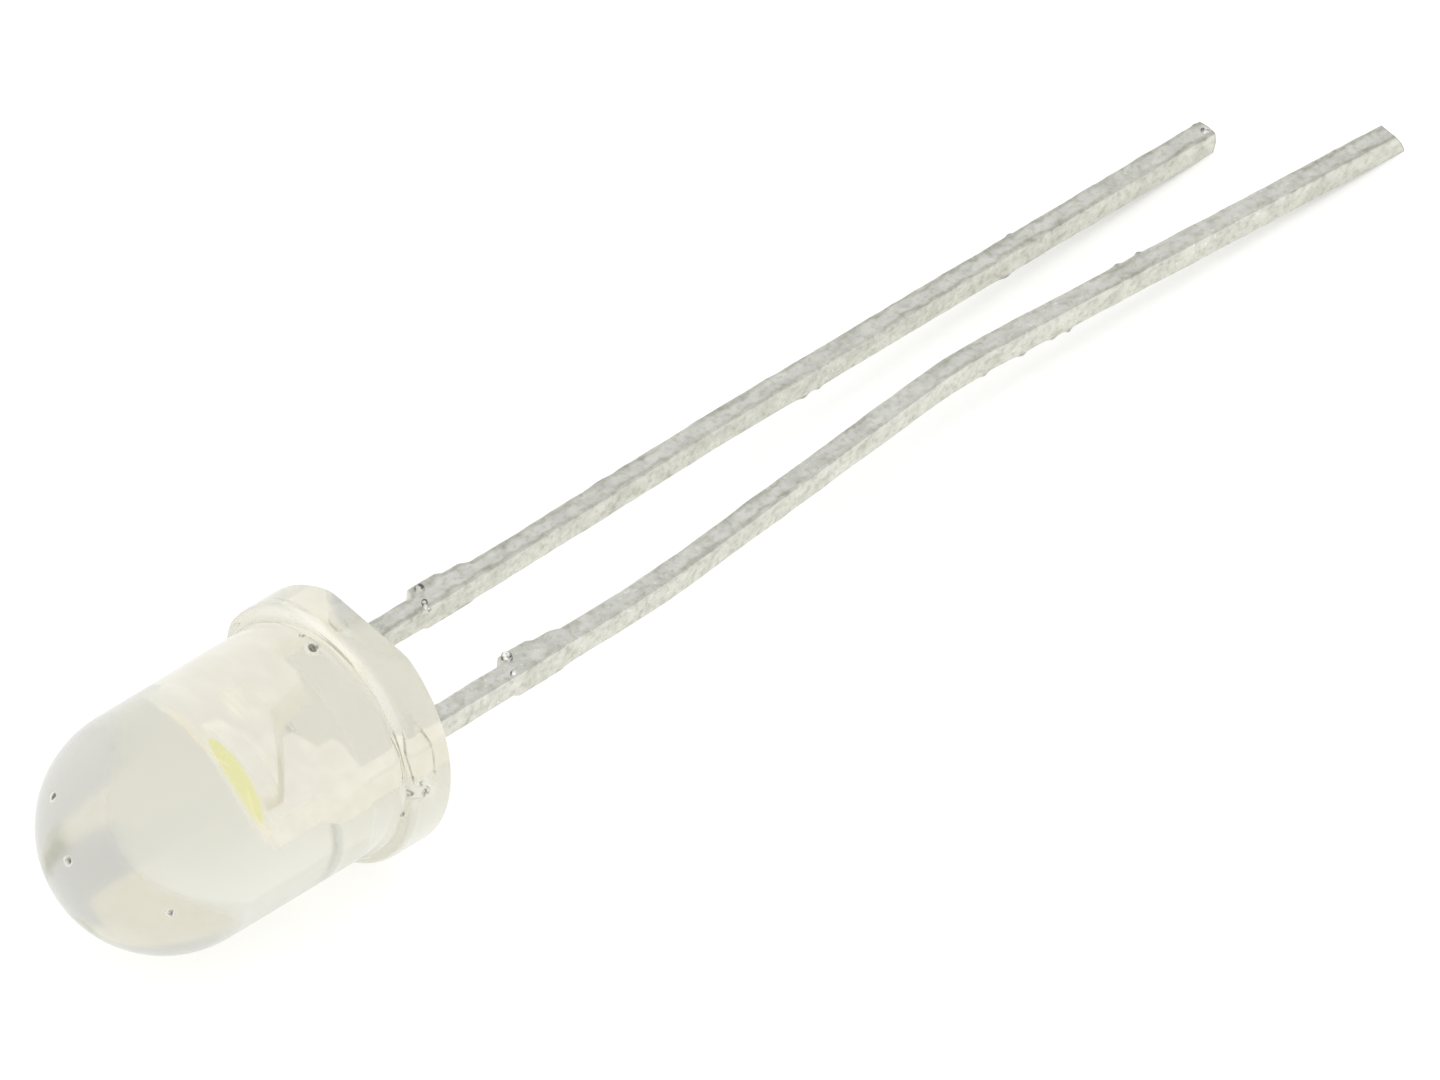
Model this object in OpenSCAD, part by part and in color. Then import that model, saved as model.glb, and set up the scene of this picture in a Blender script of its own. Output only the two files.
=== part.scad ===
// Round 5 mm through-hole LED: a clear epoxy lens on a flange with a flat, two stamped
// leads with a reflector cup on one of them, and the chip, phosphor and bond wires inside.
//
// Every piece is drawn upright first: +Z is the optical axis towards the dome, z = 0 is the
// seating plane under the flange, +X is the anode side and +Y the front face of the sheet.
// lay_down() then lays the whole part as it rests on a table, on its flange and lead tips.

/* [Lens and flange] */
// Diameter of the round lens
lens_d = 5; // [4:0.05:6.5]
// Height from the seating plane to the tip of the dome
body_h = 7.59; // [7:0.01:10]
// How far the flange stands out past the lens
flange_lip = 0.3; // [0.25:0.01:0.6]
// Thickness of the flange
flange_t = 1.05; // [0.7:0.05:1.3]
// How far the flat on the cathode side stands out past the lens
flat_lip = 0.06; // [0.01:0.01:0.2]
// Radius where the lens meets the flange
neck_fillet_r = 0.12; // [0.05:0.01:0.3]
// Rounding of the flange's front edge
flange_front_r = 0.18; // [0.05:0.01:0.3]
// Rounding of the flange's back edge
flange_back_r = 0.06; // [0.02:0.01:0.15]
// Depth of the nick in the flange's back edge
nick_depth = 0.26; // [0.05:0.01:0.28]
// Where the nick is round the flange, in degrees from the anode's side
nick_turn = 84; // [0:1:150]
// Slant of the nick, which fades towards the flange's front edge
nick_slant = 18; // [15:1:45]
// Height of the resin that climbs the leads behind the flange
collar_h = 0.16; // [0.05:0.01:0.3]
// How far that resin spreads around a lead
collar_w = 0.16; // [0.08:0.01:0.2]

/* [Leads] */
// Distance between the centres of the two leads
lead_pitch = 2.54; // [2.1:0.01:3.1]
// Width of a lead, across the sheet
lead_w = 0.42; // [0.3:0.01:0.5]
// Thickness of the sheet that the leads are stamped from
sheet_t = 0.5; // [0.35:0.01:0.6]
// Bevel along the long edges of a lead
lead_bevel = 0.05; // [0.02:0.01:0.08]
// Length of the anode lead below the seating plane
anode_l = 27.55; // [20:0.01:34]
// Length of the cathode lead below the seating plane
cathode_l = 24.87; // [19:0.01:31]
// How far the back of the anode's sheared tip runs past its front
shear_l = 0.34; // [0:0.01:0.5]
// Radius of the rounded end of the cathode lead
cathode_tip_r = 0.6; // [0.38:0.01:0.8]

/* [Bends of the leads] */
// Straight length of the anode lead before its first bend
anode_run_1 = 5.7; // [4.6:0.1:8]
// Length between the anode lead's two bends
anode_run_2 = 6.8; // [4:0.1:8]
// Angle of the first bend, towards the cathode
anode_bend_1 = 4.9; // [0.5:0.1:8]
// Angle of the second bend, away from the cathode
anode_bend_2 = 8.6; // [0.5:0.1:12]
// Radius of the first bend
anode_bend_r_1 = 30; // [10:1:40]
// Radius of the second bend
anode_bend_r_2 = 13; // [8:1:30]
// Straight length of the cathode lead before its first bend
cathode_run_1 = 4.9; // [4.6:0.1:8]
// Length between the cathode lead's two bends
cathode_run_2 = 5; // [3:0.1:8]
// Angle of the cathode lead's first bend, outwards
cathode_bend_1 = 1.15; // [0.3:0.05:3]
// Angle of the cathode lead's second bend, back inwards
cathode_bend_2 = 1.25; // [0.3:0.05:3]
// Radius of the cathode lead's bends
cathode_bend_r = 40; // [20:1:60]

/* [Trimmed tie bar] */
// Distance of the tie bar's stub from the seating plane
stub_z = 3.7; // [2:0.01:4]
// Length of the stub along the lead
stub_l = 1.24; // [0.6:0.02:1.4]
// How far the stub stands out on its long side
stub_out = 0.17; // [0.05:0.01:0.3]
// How far the stub stands out on its short side and on both faces
stub_proud = 0.03; // [0.02:0.01:0.08]

/* [Cup and post] */
// Height of the cup's rim above the seating plane
cup_z = 3.7; // [3.4:0.01:4]
// Distance of the cup's axis from the optical axis, towards the cathode
cup_shift = 0.02; // [0:0.01:0.2]
// Radius of the cup's mouth
mouth_r = 0.58; // [0.5:0.01:0.7]
// Radius of the cup's floor
floor_r = 0.34; // [0.3:0.01:0.45]
// Depth of the cup
cup_depth = 0.42; // [0.3:0.01:0.5]
// Wall of the cup at its rim
cup_wall = 0.2; // [0.15:0.01:0.25]
// Height of the top of the anode post above the seating plane
post_z = 3.85; // [3.7:0.01:4.1]
// Width of the anode post's top
post_w = 0.24; // [0.2:0.01:0.3]
// Gap between the anode post and the cathode's anvil
frame_gap = 0.13; // [0.08:0.01:0.2]
// Height of the anvil's lower edge above the seating plane
anvil_z = 1.05; // [0.8:0.01:1.3]
// Height of the flag's lower edge above the seating plane
flag_z = 1.42; // [1.1:0.01:1.8]
// Number of grooves across the anvil's front
groove_n = 5; // [0:1:7]
// Distance from one groove to the next
groove_pitch = 0.165; // [0.15:0.005:0.22]
// Length of a groove
groove_l = 0.46; // [0.4:0.01:1]
// Depth of a groove
groove_depth = 0.05; // [0.02:0.01:0.08]

/* [Chip and wires] */
// Width of the chip
die_w = 0.32; // [0.2:0.01:0.4]
// Height of the chip
die_h = 0.1; // [0.08:0.01:0.15]
// Thickness of the adhesive under the chip
glue_t = 0.02; // [0.01:0.01:0.04]
// How far the adhesive spreads past the chip
glue_spread = 0.03; // [0.01:0.01:0.05]
// Depth of the phosphor's surface below the rim
phosphor_drop = 0.03; // [0.02:0.01:0.1]
// Diameter of a bond wire
wire_d = 0.03; // [0.02:0.005:0.05]
// Height of a bond wire's arch over its chord
wire_arch = 0.24; // [0.2:0.01:0.45]
// Diameter of the ball that bonds a wire to the chip
ball_d = 0.09; // [0.07:0.01:0.12]
// Height of that ball
ball_h = 0.025; // [0.02:0.005:0.05]

/* [Hidden] */
$fn = 64;
bend_fn = 360;
wire_fn = 96;
small_fn = 24;

// Colours
epoxy_colour = [0.93, 0.94, 0.93, 0.35];
tin_colour = [0.70, 0.69, 0.66];
phosphor_colour = [0.90, 0.89, 0.35];
chip_colour = [0.55, 0.66, 0.78];
glue_colour = [0.92, 0.90, 0.84];
gold_colour = [0.85, 0.66, 0.30];

// Lens and flange
lens_r = lens_d / 2;
flange_r = lens_r + flange_lip;
dome_z = body_h - lens_r;
flat_x = lens_r + flat_lip;
neck_shift = flange_lip - flange_front_r - neck_fillet_r;
neck_z = flange_t - flange_front_r
    + sqrt(pow(flange_front_r + neck_fillet_r, 2) - pow(neck_shift, 2));
past = 1;
hair = 0.001;

// Leads
lead_x = lead_pitch / 2;
lead_out = lead_x + lead_w / 2;
lead_run = (anode_l + cathode_l) / 2;
rest_tilt = atan((flange_r - sheet_t / 2) / lead_run);
rim_low = flange_back_r * (sin(rest_tilt) + cos(rest_tilt) - 1) - flange_r * cos(rest_tilt);
cathode_back_l = cathode_l - cathode_tip_r + sqrt(pow(cathode_tip_r, 2) - pow(sheet_t / 2, 2));
stub_step = 0.55;
stub_slope = 0.06;

// Anvil, cup and post
cup_x = -cup_shift;
cup_foot = 0.1;
anvil_shelf = 0.58;
barrel_r = mouth_r + cup_wall;
floor_z = cup_z - cup_depth;
barrel_foot_z = floor_z - cup_wall - cup_foot;
anvil_out = barrel_r - cup_x + anvil_shelf;
anvil_in = barrel_r + cup_x;
anvil_step_z = 3;
gap_low_x = -0.44;
gap_high_z = floor_z + cup_foot;
gap_low_z = gap_high_z - (anvil_in - gap_low_x);
anvil_foot_x = -0.58;
corner_cut = 0.12;
post_in = anvil_in + frame_gap;
post_out = post_in + post_w;
flag_top_z = 2.4;
flag_side_z = 2.15;
flag_in = 0.36;
flag_in_z = 1.9;
flag_foot_r = 0.2;
flag_shoulder_z = 2.6;
groove_z = 2.1;
groove_in = -0.5;

// Chip and wires
chip_z = floor_z + glue_t;
chip_top_z = chip_z + die_h;
pad_x = die_w / 4;

// Lays an upright piece down: the dome looks along +X, the sheet's front face looks up,
// and the tilt brings both lead tips down to the level of the flange's rim.
module lay_down() {
    rotate([0, -rest_tilt, 0]) rotate([90, 0, 90]) children();
}

// Stands a flat outline up in the plane of the sheet and gives it the sheet's thickness.
module sheet(thickness = sheet_t) {
    rotate([90, 0, 0]) linear_extrude(height = thickness, center = true) children();
}

// Half section of the lens: dome, barrel, neck and flange. The flange's front edge and the
// neck are two arcs that touch, so that one runs into the other with no step.
module lens_section() {
    front_x = flange_r - flange_front_r;
    front_z = flange_t - flange_front_r;
    neck_x = lens_r + neck_fillet_r;
    intersection() {
        translate([0, dome_z]) circle(r = lens_r);
        translate([0, dome_z]) square([lens_r, lens_r]);
    }
    translate([0, front_z]) square([lens_r, dome_z - front_z]);
    square([flange_r - flange_back_r, front_z]);
    translate([0, flange_back_r]) square([flange_r, front_z - flange_back_r]);
    translate([flange_r - flange_back_r, flange_back_r]) circle(r = flange_back_r);
    translate([front_x, front_z]) circle(r = flange_front_r);
    difference() {
        polygon([[0, front_z], [front_x, front_z], [neck_x, neck_z], [0, neck_z]]);
        translate([neck_x, neck_z]) circle(r = neck_fillet_r);
    }
}

// Resin that has climbed one lead where it leaves the flange.
module collar(x) {
    corner_r = norm([lead_w, sheet_t]) / 2;
    translate([x, 0, -collar_h])
        cylinder(h = collar_h, r1 = corner_r, r2 = corner_r + collar_w);
}

// Cross section of a lead: a rectangle with bevelled corners.
module lead_section() {
    w = lead_w / 2;
    t = sheet_t / 2;
    b = lead_bevel;
    polygon([[-w, -t + b], [-w + b, -t], [w - b, -t], [w, -t + b],
             [w, t - b], [w - b, t], [-w + b, t], [-w, t - b]]);
}

// Straight stretch of lead, down from the local origin and a hair up into what it joins.
module straight(length) {
    translate([0, 0, -length]) linear_extrude(height = length + hair) lead_section();
}

// Arc of lead down from the local origin, turning towards +X for a positive angle.
module bend(radius, angle) {
    side = sign(angle);
    translate([side * radius, 0, 0])
        rotate([-90, 0, side > 0 ? 180 : 0])
            rotate_extrude(angle = abs(angle), $fn = bend_fn)
                translate([radius, 0]) lead_section();
}

// Puts its children at the far end of such an arc.
module after_bend(radius, angle) {
    side = sign(angle);
    translate([side * radius * (1 - cos(angle)), 0, -radius * sin(abs(angle))])
        rotate([0, -angle, 0]) children();
}

// Length of the last run that brings a lead with two bends down to a given length.
function last_run(length, run_1, radius_1, angle_1, run_2, radius_2, angle_2) =
    (length - run_1 - radius_1 * sin(angle_1) - run_2 * cos(angle_1)
     - radius_2 * (sin(angle_1) + sin(angle_2 - angle_1))) / cos(angle_2 - angle_1);

// Lead from its stub down: run, bend, run, bend, and the last run as its children. The
// first bend turns towards -X and the second one back.
module bent_lead(run_1, radius_1, angle_1, run_2, radius_2, angle_2) {
    translate([0, 0, -stub_z]) straight(run_1 - stub_z);
    translate([0, 0, -run_1]) {
        bend(radius_1, -angle_1);
        after_bend(radius_1, -angle_1) {
            straight(run_2);
            translate([0, 0, -run_2]) {
                bend(radius_2, angle_2);
                after_bend(radius_2, angle_2) children();
            }
        }
    }
}

// Last run of the cathode lead, with a rounded end.
module rounded_run(length) {
    intersection() {
        straight(length);
        union() {
            translate([-past, -past, cathode_tip_r - length])
                cube([2 * past, 2 * past, length]);
            translate([0, 0, cathode_tip_r - length]) sphere(r = cathode_tip_r);
        }
    }
}

// Last run of the anode lead, sheared at a slant so that its back face ends last.
module sheared_run(length) {
    slant = atan(shear_l / sheet_t);
    difference() {
        straight(length);
        translate([0, -sheet_t / 2, -length])
            rotate([slant, 0, 0])
                translate([-past, -past, -2 * past]) cube([2 * past, 3 * past, 2 * past]);
    }
}

// Leans its children about the stub so that a lead whose back face ends at the given
// length touches the table there.
module lean_to_table(length) {
    reach = length - stub_z;
    drop = rim_low + stub_z * sin(rest_tilt);
    lean = rest_tilt + asin(drop / norm([reach, sheet_t / 2])) + atan(sheet_t / 2 / reach);
    translate([0, 0, -stub_z]) rotate([lean, 0, 0]) translate([0, 0, stub_z]) children();
}

// Stub of the trimmed tie bar on a lead, stepped on its long side.
module stub() {
    half = stub_l / 2;
    near = lead_w / 2 + stub_proud;
    far = lead_w / 2 + stub_out;
    step_z = half - stub_step * stub_l;
    low = lead_w / 2 + stub_out / 2;
    sheet(sheet_t + 2 * stub_proud)
        polygon([[near, -half + stub_slope], [near, half - stub_slope],
                 [near - stub_slope, half], [-far + stub_slope, half],
                 [-far, half - stub_slope], [-far, step_z],
                 [-low, step_z - 2 * stub_slope], [-low, -half + stub_slope],
                 [-low + 2 * stub_slope, -half], [near - stub_slope, -half]]);
}

// Outline of the anvil that carries the cup on the cathode lead.
module anvil_outline() {
    polygon([[-lead_out, anvil_z], [-lead_out, anvil_step_z],
             [-anvil_out, anvil_step_z + lead_out - anvil_out],
             [-anvil_out, cup_z - corner_cut], [-anvil_out + corner_cut, cup_z],
             [cup_x, cup_z], [cup_x, barrel_foot_z + cup_wall], [anvil_in, gap_high_z],
             [gap_low_x, gap_low_z], [anvil_foot_x, anvil_z + corner_cut],
             [anvil_foot_x - corner_cut, anvil_z]]);
}

// Outline of the flag and post on the anode lead, with a rounded foot. Its slanted edge
// runs along the anvil's, a gap away.
module flag_outline() {
    slant_x = flag_top_z - gap_high_z + anvil_in + frame_gap * sqrt(2);
    polygon([[lead_out, flag_z], [lead_out, flag_shoulder_z - lead_out + post_out],
             [post_out, flag_shoulder_z], [post_out, post_z], [post_in, post_z],
             [post_in, gap_high_z + frame_gap * (1 - sqrt(2))], [slant_x, flag_top_z],
             [slant_x, flag_side_z], [flag_in, flag_in_z], [flag_in, flag_z + flag_foot_r],
             [flag_in + flag_foot_r, flag_z]]);
    translate([flag_in + flag_foot_r, flag_z + flag_foot_r]) circle(r = flag_foot_r);
}

// Outer body of the cup, as a turned shape.
module cup_barrel() {
    rotate_extrude()
        polygon([[0, barrel_foot_z], [floor_r, barrel_foot_z],
                 [barrel_r - cup_wall / 4, floor_z], [barrel_r, cup_z], [0, cup_z]]);
}

// Cone-shaped hollow of the cup up to the given height.
module cup_hollow(top_z) {
    translate([0, 0, floor_z])
        cylinder(h = top_z - floor_z, r1 = floor_r,
                 r2 = floor_r + (mouth_r - floor_r) * (top_z - floor_z) / cup_depth);
}

// V-shaped grooves pressed into the front of the anvil.
module grooves() {
    for (i = [0 : groove_n - 1])
        translate([groove_in - groove_l, sheet_t / 2, groove_z + i * groove_pitch])
            rotate([45, 0, 0])
                translate([0, -groove_depth / sqrt(2), -groove_depth / sqrt(2)])
                    cube([groove_l, groove_depth * sqrt(2), groove_depth * sqrt(2)]);
}

// Nick in the flange's back edge: a plane that leans out until it clears the flange.
module rim_nick() {
    rotate([0, 0, nick_turn])
        translate([flange_r - nick_depth, -flange_r, 0])
            rotate([0, nick_slant, 0])
                translate([0, 0, -past]) cube([past, 2 * flange_r, flange_t + 2 * past]);
}

// Cathode piece inside the lens and down to its stub, upright.
module cathode_frame() {
    difference() {
        union() {
            sheet() anvil_outline();
            translate([cup_x, 0, 0]) cup_barrel();
            translate([-lead_x, 0, anvil_z + corner_cut])
                straight(anvil_z + corner_cut + stub_z);
        }
        translate([cup_x, 0, 0]) cup_hollow(cup_z + past);
        grooves();
    }
}

// Anode piece inside the lens and down to its stub, upright.
module anode_frame() {
    flag_foot_z = flag_z + flag_foot_r;
    sheet() flag_outline();
    translate([lead_x, 0, flag_foot_z]) straight(flag_foot_z + stub_z);
}

// Arched wire from the chip's pad to a landing, with its ball and its flat landing foot.
module bond_wire(from_x, to_x, to_z) {
    from = [from_x, chip_top_z + ball_h / 2];
    to = [to_x, to_z + wire_d / 2];
    chord = norm(to - from);
    radius = (chord * chord / 4 + wire_arch * wire_arch) / (2 * wire_arch);
    side = sign(to_x - from_x);
    across = [-(to - from)[1], (to - from)[0]] / chord * side;
    centre = (from + to) / 2 + across * (wire_arch - radius);
    start = atan2((from - centre)[1], (from - centre)[0]);
    end = atan2((to - centre)[1], (to - centre)[0]);
    sweep = side > 0 ? start - end : end - start;
    low = side > 0 ? end : start;
    translate([centre[0], 0, centre[1]])
        rotate([90, 0, 0])
            rotate([0, 0, low])
                rotate_extrude(angle = sweep, $fn = wire_fn)
                    translate([radius, 0]) circle(d = wire_d, $fn = small_fn);
    translate([from_x, 0, chip_top_z]) cylinder(h = ball_h, d = ball_d, $fn = small_fn);
    translate([to_x, 0, to_z]) cylinder(h = wire_d, d = 3 * wire_d, $fn = small_fn);
}

module cathode_lead() {
    color(tin_colour) lay_down() {
        cathode_frame();
        translate([-lead_x, 0, -stub_z]) stub();
        lean_to_table(cathode_back_l)
            translate([-lead_x, 0, 0])
                bent_lead(cathode_run_1, cathode_bend_r, cathode_bend_1,
                          cathode_run_2, cathode_bend_r, cathode_bend_2)
                    rounded_run(last_run(cathode_l, cathode_run_1, cathode_bend_r,
                                         cathode_bend_1, cathode_run_2, cathode_bend_r,
                                         cathode_bend_2));
    }
}

module anode_lead() {
    color(tin_colour) lay_down() {
        anode_frame();
        translate([lead_x, 0, -stub_z]) stub();
        lean_to_table(anode_l)
            translate([lead_x, 0, 0])
                bent_lead(anode_run_1, anode_bend_r_1, anode_bend_1,
                          anode_run_2, anode_bend_r_2, anode_bend_2)
                    sheared_run(last_run(anode_l, anode_run_1, anode_bend_r_1,
                                         anode_bend_1, anode_run_2, anode_bend_r_2,
                                         anode_bend_2));
    }
}

module anode_wire_upright() {
    bond_wire(cup_x + pad_x, (post_in + post_out) / 2, post_z);
}

module cathode_wire_upright() {
    bond_wire(cup_x - pad_x, -(anvil_out - corner_cut + barrel_r - cup_x) / 2, cup_z);
}

module chip_upright() {
    translate([cup_x - die_w / 2, -die_w / 2, chip_z]) cube([die_w, die_w, die_h]);
}

module glue_upright() {
    translate([cup_x, 0, floor_z])
        cylinder(h = glue_t, r = die_w / sqrt(2) + glue_spread);
}

module anode_bond_wire() {
    color(gold_colour) lay_down() anode_wire_upright();
}

module cathode_bond_wire() {
    color(gold_colour) lay_down() cathode_wire_upright();
}

module led_chip() {
    color(chip_colour) lay_down() chip_upright();
}

module die_attach() {
    color(glue_colour) lay_down() glue_upright();
}

module phosphor_fill() {
    color(phosphor_colour) lay_down() difference() {
        translate([cup_x, 0, 0]) cup_hollow(cup_z - phosphor_drop);
        glue_upright();
        chip_upright();
        anode_wire_upright();
        cathode_wire_upright();
    }
}

module lens_body() {
    color(epoxy_colour) lay_down() difference() {
        union() {
            rotate_extrude() lens_section();
            collar(lead_x);
            collar(-lead_x);
        }
        translate([-flat_x - past, -flange_r, -past])
            cube([past, 2 * flange_r, past + neck_z]);
        rim_nick();
        cathode_frame();
        anode_frame();
        translate([cup_x, 0, 0]) cup_hollow(cup_z - phosphor_drop);
        anode_wire_upright();
        cathode_wire_upright();
    }
}

lens_body();
cathode_lead();
anode_lead();
phosphor_fill();
led_chip();
die_attach();
anode_bond_wire();
cathode_bond_wire();
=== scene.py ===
import math

import bpy
import numpy as np
from bpy.props import FloatProperty, FloatVectorProperty, PointerProperty
from mathutils import Matrix, Vector


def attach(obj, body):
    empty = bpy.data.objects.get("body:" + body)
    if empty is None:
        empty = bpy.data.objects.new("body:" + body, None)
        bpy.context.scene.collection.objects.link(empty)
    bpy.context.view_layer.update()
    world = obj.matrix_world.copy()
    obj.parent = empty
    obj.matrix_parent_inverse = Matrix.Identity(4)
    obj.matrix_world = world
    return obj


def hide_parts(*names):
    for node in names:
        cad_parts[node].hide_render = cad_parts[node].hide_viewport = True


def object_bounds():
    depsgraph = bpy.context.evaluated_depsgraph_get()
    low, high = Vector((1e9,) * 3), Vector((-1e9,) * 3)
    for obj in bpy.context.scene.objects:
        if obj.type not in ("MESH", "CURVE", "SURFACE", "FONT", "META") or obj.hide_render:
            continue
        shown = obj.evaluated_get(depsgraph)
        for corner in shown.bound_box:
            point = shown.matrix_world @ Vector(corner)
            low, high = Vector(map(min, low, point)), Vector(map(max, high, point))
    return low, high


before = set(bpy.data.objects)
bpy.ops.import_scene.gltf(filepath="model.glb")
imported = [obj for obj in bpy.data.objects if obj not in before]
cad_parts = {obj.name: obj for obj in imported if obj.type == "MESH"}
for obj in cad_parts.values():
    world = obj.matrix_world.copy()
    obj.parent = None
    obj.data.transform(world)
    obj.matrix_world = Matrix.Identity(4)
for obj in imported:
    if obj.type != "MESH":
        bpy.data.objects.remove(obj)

bl_info = {
    "name": "Through-hole LED",
    "version": (1, 0, 0),
    "blender": (4, 5, 0),
    "location": "View3D > Sidebar > LED",
    "description": "Surfaces, materials, floor, light and camera for a clear through-hole LED",
    "category": "Add Mesh",
}

MM = 0.001
CAD_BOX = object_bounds()
BODY = "root"

# Starting numbers of the noise on each piece
EPOXY_SEED = 11
BUBBLE_SEED = 91
BEAD_SEED = 71
TIN_SEEDS = {"cathode": 31, "anode": 57}

# Powers of the superellipse that the tin's section follows, along the lead and at the stub
SECTION_POWER = 12
STUB_POWER = 24

# Sockets of a Mix node when it mixes colours
COLOUR_A, COLOUR_B, COLOUR_RESULT = 6, 7, 2


# Settings

def length(name, description, millimetres):
    """A length property with its default given in millimetres."""
    return FloatProperty(name=name, description=description, default=millimetres * MM,
                         precision=5, unit="LENGTH")


def angle(name, description, degrees):
    """An angle property with its default given in degrees."""
    return FloatProperty(name=name, description=description, default=math.radians(degrees),
                         subtype="ANGLE", unit="ROTATION")


def colour(name, description, rgb):
    """A colour property."""
    return FloatVectorProperty(name=name, description=description, default=rgb,
                               subtype="COLOR", min=0, max=1)


def share(name, description, value):
    """A property from 0 to 1."""
    return FloatProperty(name=name, description=description, default=value, min=0, max=1,
                         subtype="FACTOR")


def number(name, description, value):
    """A plain number."""
    return FloatProperty(name=name, description=description, default=value, precision=4)


def direction(name, description, vector):
    """A direction."""
    return FloatVectorProperty(name=name, description=description, default=vector,
                               subtype="XYZ")


class EpoxySettings(bpy.types.PropertyGroup):
    """Sizes and finish of the epoxy body"""
    lens_radius: length("Lens radius", "Radius of the barrel and of the dome", 2.5)
    body_height: length("Height", "From the seating plane to the tip of the dome", 7.59)
    flange_lip: length("Flange lip", "How far the flange stands out past the lens", 0.3)
    flange_thickness: length("Flange thickness", "Thickness of the flange", 1.05)
    flat_lip: length("Flat lip", "How far the cathode's flat stands out past the lens", 0.06)
    front_rounding: length("Front rounding", "Radius of the flange's front edge", 0.18)
    neck_radius: length("Neck radius", "Radius where the lens meets the flange", 0.12)
    back_rounding: length("Back rounding", "Radius of the flange's back edge", 0.06)
    nick_depth: length("Nick depth", "Depth of the nick in the flange's back rim", 0.26)
    nick_turn: angle("Nick place", "Where the nick is, from the anode's side", 84)
    nick_slant: angle("Nick slant", "Slant of the nick, which fades towards the front", 18)
    collar_height: length("Collar height", "How far resin has climbed the leads", 0.34)
    collar_width: length("Collar width", "How far that resin spreads from a lead", 0.16)
    waviness: length("Waviness", "Height of the waves in the moulded surface", 0.004)
    tint: colour("Tint", "Colour of what is seen through the dome", (0.80, 0.795, 0.73))
    deep_tint: colour("Deep tint", "Colour of what is seen through the flange",
                      (0.775, 0.76, 0.66))
    # Painted shade: a grey that darkens what is seen through the nick
    nick_shade_tint: colour("Nick tint", "Colour of what is seen through the nick",
                      (0.42, 0.43, 0.44))
    # Painted highlight: a paler tint along the flange's front edge
    edge_highlight_tint: colour("Edge tint", "Colour seen through the flange's front edge",
                      (1.0, 0.985, 0.92))
    # Painted shade: the dark spots in the bubbles
    bubble_shade: colour("Bubble dirt", "Colour of the dirt in the bubbles", (0.10, 0.10, 0.08))
    ior: number("Refraction", "Refractive index of the epoxy", 1.53)
    roughness: share("Roughness", "Roughness of the moulded surface", 0.16)


class LeadSettings(bpy.types.PropertyGroup):
    """Sizes and finish of the leads"""
    pitch: length("Pitch", "Distance between the two leads", 2.54)
    width: length("Width", "Width of a lead in the plane of the sheet", 0.42)
    thickness: length("Thickness", "Thickness of the sheet", 0.5)
    tin_thickness: length("Tin", "Thickness of the tin on a lead", 0.015)
    tin_waves: length("Tin waves", "Height of the waves in the tin", 0.022)
    tin_start: length("Tin start", "Where the tin starts, from the seating plane", 0.12)
    stub_place: length("Stub place", "Where the tie bar's stub is, from the seating plane", 3.7)
    stub_length: length("Stub length", "Length of the stub along the lead", 1.24)
    stub_out: length("Stub reach", "How far the stub stands out on its long side", 0.17)
    stub_proud: length("Stub lip", "How far the stub stands out on its other sides", 0.03)
    anode_length: length("Anode length", "Length of the anode lead", 27.55)
    cathode_length: length("Cathode length", "Length of the cathode lead", 24.87)
    shear: length("Shear", "How far the back of the anode's tip runs past its front", 0.34)
    tip_radius: length("Tip radius", "Radius of the cathode's rounded end", 0.75)
    tin_face: colour("Tin face", "Colour of the tin on the sheet's faces", (0.82, 0.82, 0.755))
    # Partly painted reflection: the tin's own colour with the cream that the cut sides mirror from
    # the floor
    tin_side_with_reflection: colour("Tin side", "Colour of the tin on the cut sides", (0.80, 0.80, 0.72))
    tin_dross: colour("Tin dross", "Colour of the tin on the burrs", (0.40, 0.40, 0.35))
    # Painted reflection: the dark patches that the beads would mirror
    bead_dark_reflection: colour("Bead dross", "Colour of the dark patches on beads", (0.16, 0.16, 0.14))
    # Painted reflection: the dark line that the ridges mirror from a darker part of the studio
    tin_ridge_reflection: colour("Tin ridge", "Colour of the tin between them", (0.61, 0.61, 0.53))
    plate_colour: colour("Plating", "Colour of the plated leadframe", (0.98, 0.96, 0.90))
    # Painted glow: light that the plating gives off though it is no lamp, to lighten it in the
    # epoxy
    plate_painted_glow: share("Plating glow", "Light that the plating gathers in the epoxy", 0.09)
    roughness: share("Roughness", "Roughness of the tin", 0.34)


class FillSettings(bpy.types.PropertyGroup):
    """Colours of what the cup holds"""
    phosphor: colour("Phosphor", "Colour of the phosphor", (0.97, 0.95, 0.52))
    # Painted glow: light that the phosphor gives off though it is no lamp
    phosphor_painted_glow: share("Phosphor glow", "Light that the phosphor adds in daylight", 0.14)
    chip: colour("Chip", "Colour of the chip", (0.55, 0.66, 0.78))
    adhesive: colour("Adhesive", "Colour of the adhesive", (0.92, 0.90, 0.84))
    gold: colour("Gold", "Colour of the bond wires", (0.96, 0.88, 0.70))
    # Painted glow: light that the wires give off though they are no lamp
    gold_painted_glow: share("Gold glow", "Light that the wires gather in the epoxy", 0.25)


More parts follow.
